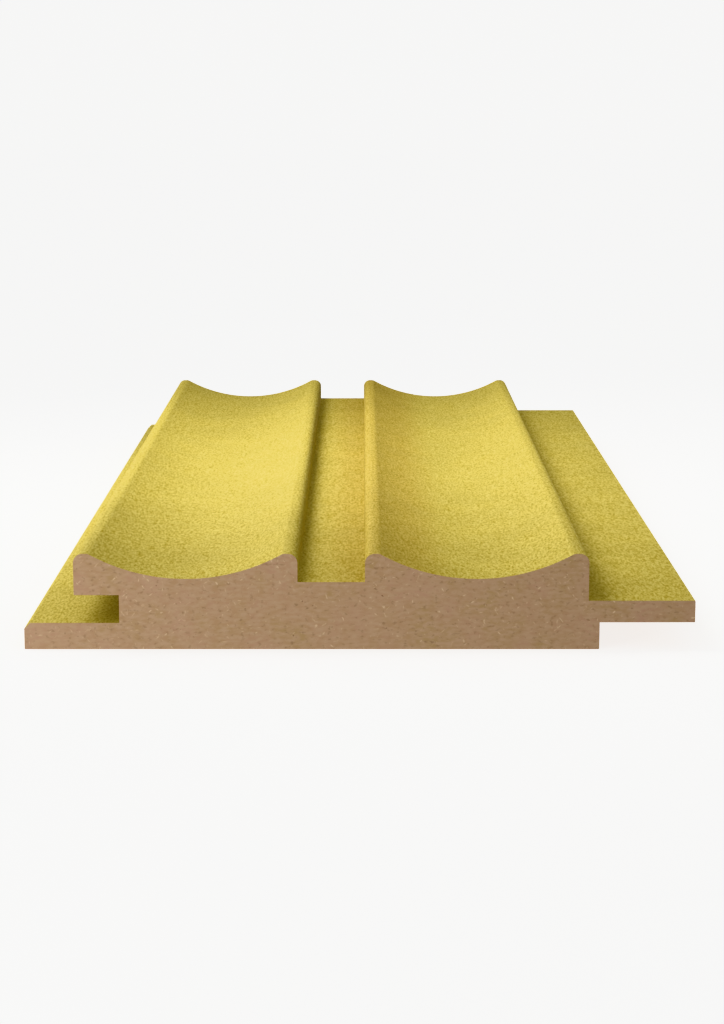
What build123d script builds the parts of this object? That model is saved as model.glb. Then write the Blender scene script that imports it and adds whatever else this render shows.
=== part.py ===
# Interlocking wall panel, machined from one board of MDF and cut to a short length.
#
# The panel lies on its back. X runs across it from the grooved edge to the tongued edge, Y runs along
# its length, and Z is up from the back to the face. The origin is at the middle of the back.
# All sizes are in millimetres.

from build123d import *
import os

# The board and the cut length.
board_thickness = 18.0
panel_length = 250.0

# The face: hollow slats, set apart by flat strips that lie deeper than the slats.
slat_count = 2
slat_width = 41.2
slat_gap = 12.4
strip_depth = 5.3

# The hollow in each slat runs between two narrow lands, which are rounded over.
land_width = 2.7
flute_depth = 4.7
slat_edge_radius = 1.75
flute_edge_radius = 1.5

# The grooved edge: a lip that reaches out under the next panel, and the groove above it.
lip_reach = 9.3
lip_thickness = 5.0
lip_chamfer = 1.1
groove_depth = 8.3

# The tongued edge, which goes into the groove of the next panel.
tongue_thickness = 4.1
tongue_seat = 0.1  # clearance between the tongue and the lip under it
tongue_headroom = 1.05  # clearance between the tongue and the top of the groove
joint_gap = 1.0  # room for movement that stays open when the next slat keeps the same spacing

# Heights above the back.
groove_height = tongue_seat + tongue_thickness + tongue_headroom
strip_height = board_thickness - strip_depth
tongue_underside = lip_thickness + tongue_seat
tongue_top = tongue_underside + tongue_thickness

# Reach of the tongue and of the shoulder below it, both past the last slat.
tongue_reach = slat_gap + groove_depth - joint_gap
shoulder_reach = slat_gap - lip_reach - joint_gap

# Places across the panel.
slat_pitch = slat_width + slat_gap
slats_width = slat_count * slat_pitch - slat_gap
panel_width = lip_reach + slats_width + tongue_reach
lip_end = -panel_width / 2
first_slat = lip_end + lip_reach
last_slat_side = first_slat + slats_width
shoulder = last_slat_side + shoulder_reach

# The hollow is an arc that meets the inner edges of the two lands.
flute_half_width = slat_width / 2 - land_width
flute_radius = (flute_half_width**2 + flute_depth**2) / (2 * flute_depth)
flute_axis_height = board_thickness - flute_depth + flute_radius

corner = (Align.MIN, Align.MIN)

with BuildPart() as wall_panel:
    with BuildSketch(Plane.XZ):
        # The board before machining.
        with Locations((lip_end, 0)):
            Rectangle(panel_width, board_thickness, align=corner)

        # Grooved edge: the board is cut away above the lip, and the groove runs in under the first slat.
        with Locations((lip_end, lip_thickness)):
            Rectangle(lip_reach, board_thickness - lip_thickness, align=corner, mode=Mode.SUBTRACT)
            Rectangle(lip_reach + groove_depth, groove_height, align=corner, mode=Mode.SUBTRACT)

        # Tongued edge: a step above the tongue, and a rebate below it that clears the lip of the next panel.
        with Locations((last_slat_side, tongue_top)):
            Rectangle(tongue_reach, board_thickness - tongue_top, align=corner, mode=Mode.SUBTRACT)
        with Locations((shoulder, 0)):
            Rectangle(tongue_reach - shoulder_reach, tongue_underside, align=corner, mode=Mode.SUBTRACT)

        # Flat strips between the slats.
        strip_starts = [first_slat + slat_width + index * slat_pitch for index in range(slat_count - 1)]
        with Locations(*[(start, strip_height) for start in strip_starts]):
            Rectangle(slat_gap, strip_depth, align=corner, mode=Mode.SUBTRACT)

        # Hollows: the cutter's circle dips into each slat by the flute's depth.
        flute_centres = [first_slat + slat_width / 2 + index * slat_pitch for index in range(slat_count)]
        with Locations(*[(centre, flute_axis_height) for centre in flute_centres]):
            Circle(flute_radius, mode=Mode.SUBTRACT)

        # Each land has an outer corner on the slat's side and an inner corner on the hollow.
        land_corners = vertices().group_by(Axis.Y)[-1].sort_by(Axis.X)
        slat_sides = land_corners[0::4] + land_corners[3::4]
        flute_edges = land_corners[1::4] + land_corners[2::4]
        fillet(slat_sides, slat_edge_radius)
        fillet(flute_edges, flute_edge_radius)

        # The upper corner at the end of the lip is bevelled, so the tongue above it slides in.
        chamfer(vertices().group_by(Axis.X)[0].sort_by(Axis.Y)[-1], lip_chamfer)
    extrude(amount=panel_length / 2, both=True)

wall_panel.part.label = "wall_panel"
os.makedirs("parts", exist_ok=True)
export_step(wall_panel.part, "parts/wall_panel.step")
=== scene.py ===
import math
import bmesh
import bpy
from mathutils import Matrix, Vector


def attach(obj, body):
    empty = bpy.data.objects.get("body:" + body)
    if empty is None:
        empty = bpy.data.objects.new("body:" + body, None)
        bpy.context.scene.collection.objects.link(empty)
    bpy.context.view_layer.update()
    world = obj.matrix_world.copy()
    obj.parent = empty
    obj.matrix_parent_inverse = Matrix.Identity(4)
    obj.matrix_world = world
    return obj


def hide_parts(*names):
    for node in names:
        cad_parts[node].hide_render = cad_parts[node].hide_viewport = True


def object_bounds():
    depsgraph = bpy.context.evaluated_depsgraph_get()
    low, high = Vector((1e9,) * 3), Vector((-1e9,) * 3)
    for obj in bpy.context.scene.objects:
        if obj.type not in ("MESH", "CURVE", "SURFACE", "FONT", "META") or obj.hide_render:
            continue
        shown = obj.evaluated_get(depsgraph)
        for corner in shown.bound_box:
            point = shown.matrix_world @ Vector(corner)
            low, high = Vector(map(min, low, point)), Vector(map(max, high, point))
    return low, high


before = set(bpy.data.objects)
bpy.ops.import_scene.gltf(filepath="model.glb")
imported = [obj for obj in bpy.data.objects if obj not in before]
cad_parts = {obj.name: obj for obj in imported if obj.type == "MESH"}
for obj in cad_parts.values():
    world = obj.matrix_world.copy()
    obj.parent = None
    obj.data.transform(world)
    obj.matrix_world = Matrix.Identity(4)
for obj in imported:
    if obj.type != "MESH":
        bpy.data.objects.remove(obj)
cad_low, cad_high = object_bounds()

# The board
# One length of medium-density fibreboard, run past profile cutters that leave two hollow slats on its
# face, a lipped groove along one edge and a tongue along the other, then sawn square at both ends.
mm = 0.001
back, face = cad_low.z, cad_high.z
near_end, far_end = cad_low.y, cad_high.y
lip_end, tongue_tip = cad_low.x, cad_high.x
slat_count = 2
slat_width = 41.2 * mm
slat_gap = 12.4 * mm
strip_height = face - 5.3 * mm
land_width = 2.7 * mm
flute_depth = 4.7 * mm
slat_edge_radius = 1.75 * mm
flute_edge_radius = 1.5 * mm
lip_reach = 9.3 * mm
lip_top = back + 5.0 * mm
lip_chamfer = 1.1 * mm
groove_depth = 8.3 * mm
groove_top = lip_top + 5.25 * mm
tongue_underside = back + 5.1 * mm
tongue_top = tongue_underside + 4.1 * mm
shoulder_reach = 2.1 * mm
arris_radius = 0.15 * mm  # every other long edge is only rubbed down with fine paper
arris_angle = math.radians(60)
crease_angle = math.radians(35)
bay_length = 5 * mm
hollow_steps = 48

first_slat = lip_end + lip_reach
slat_lefts = [first_slat + index * (slat_width + slat_gap) for index in range(slat_count)]
last_slat_side = slat_lefts[-1] + slat_width
shoulder = last_slat_side + shoulder_reach
flute_half_width = slat_width / 2 - land_width
flute_radius = (flute_half_width**2 + flute_depth**2) / (2 * flute_depth)
flute_axis_height = face - flute_depth + flute_radius
flute_sweep = 2 * math.asin(flute_half_width / flute_radius)

board = bmesh.new()
outline = [board.verts.new((lip_end, near_end, back))]


def draw_to(x, z):
    """Carries the outline of the near end straight on to x, z and returns the new corner."""
    outline.append(board.verts.new((x, near_end, z)))
    board.edges.new(outline[-2:])
    return outline[-1]


def sweep_hollow(middle):
    """Carries the outline round a slat's hollow, from its right edge to its left, and returns that edge."""
    arc = bmesh.ops.spin(
        board,
        geom=outline[-1:],
        cent=(middle, near_end, flute_axis_height),
        axis=(0, 1, 0),
        angle=flute_sweep,
        steps=hollow_steps,
    )
    outline.append(arc["geom_last"][0])
    return outline[-1]


slat_edges, flute_edges = [], []
draw_to(shoulder, back)
draw_to(shoulder, tongue_underside)
draw_to(tongue_tip, tongue_underside)
draw_to(tongue_tip, tongue_top)
foot = tongue_top
for slat_left in reversed(slat_lefts):
    slat_right = slat_left + slat_width
    draw_to(slat_right, foot)
    slat_edges.append(draw_to(slat_right, face))
    flute_edges.append(draw_to(slat_right - land_width, face))
    flute_edges.append(sweep_hollow(slat_left + slat_width / 2))
    slat_edges.append(draw_to(slat_left, face))
    foot = strip_height if slat_left > first_slat else groove_top
    draw_to(slat_left, foot)
draw_to(first_slat + groove_depth, groove_top)
draw_to(first_slat + groove_depth, lip_top)
lip_corner = draw_to(lip_end, lip_top)
board.edges.new((outline[-1], outline[0]))
bmesh.ops.contextual_create(board, geom=board.edges[:])

flute_edge_turn = flute_sweep / 4
for corners, offset, segments in (
    (slat_edges, slat_edge_radius, 10),
    (flute_edges, flute_edge_radius * math.tan(flute_edge_turn), 6),
    ([lip_corner], lip_chamfer, 1),
):
    bmesh.ops.bevel(
        board, geom=corners, affect="VERTICES", offset=offset, segments=segments, profile=0.5, material=-1
    )

run = bmesh.ops.extrude_face_region(board, geom=board.faces[:])
far_corners = [item for item in run["geom"] if isinstance(item, bmesh.types.BMVert)]
bmesh.ops.translate(board, verts=far_corners, vec=(0, far_end - near_end, 0))
bmesh.ops.recalc_face_normals(board, faces=board.faces[:])


def runs_along(edge):
    """True for an edge along the panel's length."""
    return abs(edge.verts[0].co.y - edge.verts[1].co.y) > mm


long_edges = [edge for edge in board.edges if runs_along(edge)]
arrises = [edge for edge in long_edges if edge.calc_face_angle_signed() > arris_angle]
bmesh.ops.bevel(
    board, geom=arrises, affect="EDGES", offset=arris_radius, segments=2, profile=0.5, material=-1
)
long_edges = [edge for edge in board.edges if runs_along(edge)]
bay_count = round((far_end - near_end) / bay_length)
bmesh.ops.subdivide_edges(board, edges=long_edges, cuts=bay_count - 1)

coated_slot, raw_slot = 0, 1
mostly = 0.5  # a face counts as turned to a direction when its normal has more than this of it
for side in board.faces:
    side.smooth = True
    middle = side.calc_center_median()
    sawn = abs(side.normal.y) > mostly
    turned_down = side.normal.z < -mostly
    under_tongue = middle.x > last_slat_side and middle.z < tongue_underside
    side.material_index = raw_slot if sawn or turned_down or under_tongue else coated_slot

panel_mesh = bpy.data.meshes.new("fluted_panel")
board.to_mesh(panel_mesh)
board.free()
panel_mesh.set_sharp_from_angle(angle=crease_angle)
panel = bpy.data.objects.new("fluted_panel", panel_mesh)
scene = bpy.context.scene
scene.collection.objects.link(panel)


def linear(code):
    """The linear colour of an sRGB hex code such as "c8b24c"."""
    channels = [int(code[place : place + 2], 16) / 255 for place in (0, 2, 4)]
    return [c / 12.92 if c <= 0.04045 else ((c + 0.055) / 1.055) ** 2.4 for c in channels] + [1.0]


def add_node(tree, kind, inputs=None, output=None, **settings):
    """Adds a node, sets it up, fills its named inputs with values or links, and returns one output."""
    node = tree.nodes.new(kind)
    for name, value in settings.items():
        setattr(node, name, value)
    for name, value in (inputs or {}).items():
        socket = next(s for s in node.inputs if s.enabled and s.name == name)
        if isinstance(value, bpy.types.NodeSocket):
            tree.links.new(value, socket)
        else:
            socket.default_value = value
    return next(s for s in node.outputs if s.enabled and output in (None, s.name))


# Sprayed satin lacquer over a sanded, sealed face: it dries to a fine sandy grain that breaks up the gloss.
# It has painted shade: a deeper, warmer tone along the middle, over the strip between the slats and the
# second slat's left side, where less light falls. The real grain is too fine to show from here, so it is
# drawn at about 0.4 mm, and longer along the panel.
coat = bpy.data.materials.new("sprayed_satin_lacquer")
coat.use_nodes = True
tree = coat.node_tree
shader = tree.nodes["Principled BSDF"]
grain_size = 0.39 * mm
grain_stretch = 3.3
cloud_size = 14 * mm
painted_shade_middle = 4 * mm
painted_shade_reach = 15 * mm
pit_colour, mean_colour, tip_colour = "b39b29", "d3bf58", "e6d474"
# the colour of the painted shade that is multiplied in along the middle
painted_shade_tint = "f5ede7"
pit_roughness, tip_roughness = 0.68, 0.52
place = add_node(tree, "ShaderNodeTexCoord", output="Object")
along = add_node(tree, "ShaderNodeMapping", {"Vector": place, "Scale": (1, 1 / grain_stretch, 1)})
grain = add_node(
    tree, "ShaderNodeTexNoise", {"Vector": along, "Scale": 1 / grain_size, "Detail": 1.5, "Roughness": 0.6}
)
cloud = add_node(tree, "ShaderNodeTexNoise", {"Vector": place, "Scale": 1 / cloud_size, "Detail": 2.0})
speck = add_node(tree, "ShaderNodeValToRGB", {"Fac": grain})
stops = speck.node.color_ramp.elements
stops.new(0.5)
for stop, level, code in zip(stops, (0.30, 0.50, 0.72), (pit_colour, mean_colour, tip_colour)):
    stop.position = level
    stop.color = linear(code)
drift = add_node(
    tree,
    "ShaderNodeMapRange",
    {"Value": cloud, "From Min": 0.3, "From Max": 0.7, "To Min": 0.95, "To Max": 1.04},
)
tint = add_node(tree, "ShaderNodeVectorMath", {"Vector": speck, "Scale": drift}, operation="SCALE")
# Painted shade: the tone is deepened towards the middle, over the strip between the slats and the second
# slat's left side.
moved = add_node(tree, "ShaderNodeMapping", {"Vector": place, "Location": (-painted_shade_middle, 0, 0)})
across = add_node(tree, "ShaderNodeSeparateXYZ", {"Vector": moved}, output="X")
off_middle = add_node(tree, "ShaderNodeMath", {"Value": across}, operation="ABSOLUTE")
painted_shade = add_node(
    tree,
    "ShaderNodeMapRange",
    {"Value": off_middle, "From Min": painted_shade_reach, "From Max": painted_shade_reach / 3},
    interpolation_type="SMOOTHSTEP",
)
painted_shade_colour = add_node(
    tree,
    "ShaderNodeMix",
    {"Factor": painted_shade, "A": tint, "B": linear(painted_shade_tint)},
    data_type="RGBA",
    blend_type="MULTIPLY",
)
tree.links.new(painted_shade_colour, shader.inputs["Base Color"])
sheen = add_node(
    tree,
    "ShaderNodeMapRange",
    {"Value": grain, "From Min": 0.3, "From Max": 0.7, "To Min": pit_roughness, "To Max": tip_roughness},
)
tree.links.new(sheen, shader.inputs["Roughness"])
bump = add_node(tree, "ShaderNodeBump", {"Height": grain, "Strength": 0.35, "Distance": 0.04 * mm})
tree.links.new(bump, shader.inputs["Normal"])
shader.inputs["IOR"].default_value = 1.5

# Sawn fibreboard: pressed wood fibres that lie flat in the board, so the cut ends show short level flecks,
# dark bark specks and a few pale fibres in a tan ground that drifts a little in hue. Single fibres are too
# fine to show from here, so they are drawn as bundles about half a millimetre thick.
raw = bpy.data.materials.new("sawn_fibreboard")
raw.use_nodes = True
tree = raw.node_tree
shader = tree.nodes["Principled BSDF"]
hue_size = 7 * mm
place = add_node(tree, "ShaderNodeTexCoord", output="Object")


def fibre_noise(length, thickness, turn, detail):
    """Noise drawn out to fibres of that length and thickness, turned about the panel's length."""
    turned = add_node(tree, "ShaderNodeMapping", {"Vector": place, "Rotation": (0, math.radians(turn), 0)})
    drawn_out = add_node(
        tree, "ShaderNodeMapping", {"Vector": turned, "Scale": (1 / length, 1 / length, 1 / thickness)}
    )
    return add_node(tree, "ShaderNodeTexNoise", {"Vector": drawn_out, "Scale": 1.0, "Detail": detail})


def lay_fibres(ground, code, pattern, none, full):
    """Lays one colour over the ground, none of it where the pattern is at none and all of it at full."""
    share = add_node(tree, "ShaderNodeMapRange", {"Value": pattern, "From Min": none, "From Max": full})
    colours = {"Factor": share, "A": ground, "B": linear(code)}
    return add_node(tree, "ShaderNodeMix", colours, data_type="RGBA")


hue = add_node(tree, "ShaderNodeTexNoise", {"Vector": place, "Scale": 1 / hue_size, "Detail": 3.0})
fibre_colour = lay_fibres(linear("a88b65"), "b08d73", hue, none=0.35, full=0.65)
light_flecks = fibre_noise(length=1.6 * mm, thickness=0.65 * mm, turn=0, detail=3.0)
fibre_colour = lay_fibres(fibre_colour, "b49678", light_flecks, none=0.36, full=0.66)
dark_flecks = fibre_noise(length=1.0 * mm, thickness=0.65 * mm, turn=2, detail=2.0)
fibre_colour = lay_fibres(fibre_colour, "967a5c", dark_flecks, none=0.42, full=0.25)
bark_specks = fibre_noise(length=1.0 * mm, thickness=0.6 * mm, turn=-5, detail=1.0)
fibre_colour = lay_fibres(fibre_colour, "6e523a", bark_specks, none=0.27, full=0.19)
for length, turn in ((1.6 * mm, 3), (1.4 * mm, 38), (1.4 * mm, -52), (1.2 * mm, 84)):
    pale_fibres = fibre_noise(length, thickness=0.5 * mm, turn=turn, detail=1.0)
    fibre_colour = lay_fibres(fibre_colour, "cdb28f", pale_fibres, none=0.71, full=0.83)
tree.links.new(fibre_colour, shader.inputs["Base Color"])
fuzz = fibre_noise(length=0.6 * mm, thickness=0.4 * mm, turn=0, detail=2.0)
bump = add_node(tree, "ShaderNodeBump", {"Height": fuzz, "Strength": 0.15, "Distance": 0.05 * mm})
tree.links.new(bump, shader.inputs["Normal"])
shader.inputs["Roughness"].default_value = 0.9
shader.inputs["IOR"].default_value = 1.45

panel_mesh.materials.append(coat)
panel_mesh.materials.append(raw)
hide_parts("wall_panel")
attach(panel, "root")

# The studio
# A white sweep runs out flat under the panel and curves up all round it, with soft lamps above. It glows a
# little and only the camera sees it, so it throws no light on the panel. The room's even light isn't
# mirrored in the coat.
sweep_radius = 2.5
cove_radius = 1.0
sweep = bmesh.new()
rim = [sweep.verts.new((0, 0, back)), sweep.verts.new((sweep_radius, 0, back))]
sweep.edges.new(rim)
bmesh.ops.spin(
    sweep,
    geom=rim[-1:],
    cent=(sweep_radius, 0, back + cove_radius),
    axis=(0, 1, 0),
    angle=-math.pi / 2,
    steps=16,
)
bmesh.ops.spin(
    sweep,
    geom=sweep.verts[:] + sweep.edges[:],
    cent=(0, 0, 0),
    axis=(0, 0, 1),
    angle=2 * math.pi,
    steps=96,
    use_merge=True,
)
bmesh.ops.remove_doubles(sweep, verts=sweep.verts[:], dist=0.1 * mm)
bmesh.ops.recalc_face_normals(sweep, faces=sweep.faces[:])
for side in sweep.faces:
    side.smooth = True
sweep_mesh = bpy.data.meshes.new("studio_sweep")
sweep.to_mesh(sweep_mesh)
sweep.free()
floor = bpy.data.objects.new("studio_sweep", sweep_mesh)
scene.collection.objects.link(floor)
paint = bpy.data.materials.new("white_sweep")
paint.use_nodes = True
shader = paint.node_tree.nodes["Principled BSDF"]
shader.inputs["Base Color"].default_value = linear("f4f4f2")
shader.inputs["Roughness"].default_value = 0.9
shader.inputs["Emission Color"].default_value = (1, 1, 1, 1)
shader.inputs["Emission Strength"].default_value = 0.9
paint.cycles.emission_sampling = "NONE"
sweep_mesh.materials.append(paint)
floor.visible_diffuse = False
floor.visible_glossy = False

scene.world = bpy.data.worlds.new("studio_air")
scene.world.use_nodes = True
sky = scene.world.node_tree.nodes["Background"]
sky.inputs["Color"].default_value = (1, 1, 1, 1)
sky.inputs["Strength"].default_value = 0.485
scene.world.cycles_visibility.glossy = False


def hang_softbox(name, place, aim, width, height, spread, watts):
    """Hangs a softbox that faces its aim. A small spread stands for a grid that keeps its light in a pool."""
    lamp = bpy.data.lights.new(name, "AREA")
    lamp.shape = "RECTANGLE"
    lamp.size = width
    lamp.size_y = height
    lamp.spread = math.radians(spread)
    lamp.energy = watts
    lamp.cycles.max_bounces = 0  # the shaded sides stay dark, with no yellow thrown across the strip
    softbox = bpy.data.objects.new(name, lamp)
    softbox.location = place
    softbox.rotation_euler = (Vector(aim) - Vector(place)).to_track_quat("-Z", "Y").to_euler()
    softbox.visible_camera = False
    scene.collection.objects.link(softbox)


hang_softbox(
    "key_softbox",
    place=(-0.275, 0, 0.428),
    aim=(0.012, 0, face),
    width=0.14,
    height=0.40,
    spread=52,
    watts=0.245,
)
hang_softbox(
    "near_softbox",
    place=(-0.1, 0, 0.22),
    aim=(-0.03, 0, face),
    width=0.14,
    height=0.10,
    spread=75,
    watts=0.057,
)
hang_softbox(
    "front_softbox",
    place=(-0.25, -0.36, 0.05),
    aim=(-0.03, near_end, face / 2),
    width=0.12,
    height=0.08,
    spread=180,
    watts=0.765,
)

# Two strip lamps lie on the floor, no higher than the tongue. Each throws a narrow sheet of light that lifts
# the far end or the tongue edge out of the dark, and that can't reach the face from below it.
strip_lamp_height = 9 * mm
strip_lamp_spread = 6
hang_softbox(
    "back_strip_lamp",
    place=(0, 0.45, strip_lamp_height / 2),
    aim=(0, far_end, face / 2),
    width=0.16,
    height=strip_lamp_height,
    spread=strip_lamp_spread,
    watts=0.006,
)
hang_softbox(
    "tongue_strip_lamp",
    place=(0.40, 0, strip_lamp_height / 2),
    aim=(tongue_tip, 0, face / 2),
    width=0.30,
    height=strip_lamp_height,
    spread=strip_lamp_spread,
    watts=0.008,
)

# The camera
# It stands square to the near end, a hand's breadth above the face, and looks down along the panel.
side_step = 0.46 * mm
stand_off = 413.0 * mm
eye_height = 103.1 * mm
dip = 10.6
camera_data = bpy.data.cameras.new("camera")
camera_data.sensor_width = 36
camera_data.lens = 80.84
camera = bpy.data.objects.new("camera", camera_data)
camera.location = (side_step, near_end - stand_off, eye_height)
camera.rotation_euler = (math.radians(90 - dip), 0, 0)
scene.collection.objects.link(camera)
scene.camera = camera
scene.view_settings.view_transform = "Khronos PBR Neutral"
